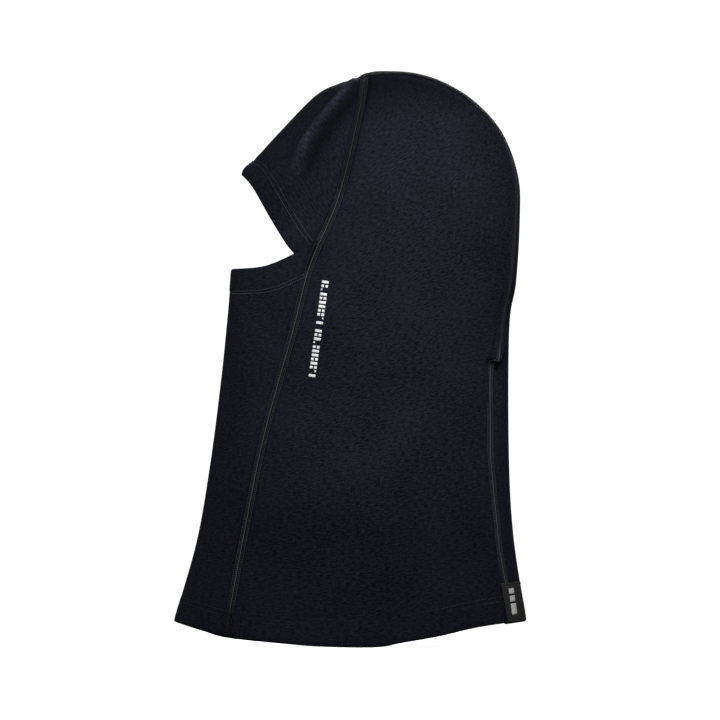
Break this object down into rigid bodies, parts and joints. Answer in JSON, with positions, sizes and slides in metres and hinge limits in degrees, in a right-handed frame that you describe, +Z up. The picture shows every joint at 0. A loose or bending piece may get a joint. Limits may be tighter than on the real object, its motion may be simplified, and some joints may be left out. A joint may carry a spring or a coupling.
{
  "type": "hinged knit balaclava",
  "caption": "Hinged full-face knit balaclava, opened upright: flatlock-seamed hood and long neck, fold-down mask, brow panel, hemmed edges, hem tab.",
  "frame": {"origin": "bottom centre of the bounding box, under the middle of the garment at the level of its hem", "axes": "+Z up to the crown, -Y the way the face looks, +X the wearer's left"},
  "size_m": [0.1118, 0.226, 0.368],
  "materials": {
    "knit": "matte fine single-layer knit, navy black",
    "thread": "twisted polyester sewing thread, dark grey",
    "woven_ribbon": null,
    "satin_ribbon": "white satin label ribbon",
    "transfer_ink": "white heat-transfer print"
  },
  "bodies": {
    "hood": {"side_panel_left": "knit", "side_panel_right": "knit", "back_panel": "knit", "brow_panel_crown": "knit", "throat_panel": "knit", "front_seam_left_cover": "thread", "front_seam_left_looper": "thread", "front_seam_right_cover": "thread", "front_seam_right_looper": "thread", "back_seam_left_cover": "thread", "back_seam_left_looper": "thread", "back_seam_right_cover": "thread", "back_seam_right_looper": "thread", "crown_seam_cover": "thread", "crown_seam_looper": "thread", "bottom_hem_needle_lower": "thread", "bottom_hem_needle_upper": "thread", "bottom_hem_looper": "thread", "hem_tab_stitch": "thread", "care_label_stitch": "thread", "hem_tab": "woven_ribbon", "printed_scale": "transfer_ink"},
    "mask": {"mask_panel": "knit", "mask_hem_needle_outer": "thread", "mask_hem_needle_inner": "thread", "mask_hem_looper": "thread"},
    "brow": {"brow_panel": "knit", "brow_hem_needle_outer": "thread", "brow_hem_needle_inner": "thread", "brow_hem_looper": "thread"},
    "care_label": {"care_label": "satin_ribbon"}
  },
  "joints": [
    {"name": "mask_fold_down", "type": "hinge", "parent": "hood", "child": "mask", "pos_m": [0, -0.01899, 0.261], "axis": [1, 0, 0], "range_deg": [0, 45], "stiffness_Nm_per_rad": 0.01},
    {"name": "brow_push_up", "type": "hinge", "parent": "hood", "child": "brow", "pos_m": [0, -0.01899, 0.261], "axis": [-1, 0, 0], "range_deg": [0, 20], "stiffness_Nm_per_rad": 0.02},
    {"name": "care_label_flap", "type": "hinge", "parent": "hood", "child": "care_label", "pos_m": [0.01791, 0.09032, 0.08546], "axis": [0, 0, -1], "range_deg": [0, 60], "stiffness_Nm_per_rad": 0.00005}
  ]
}
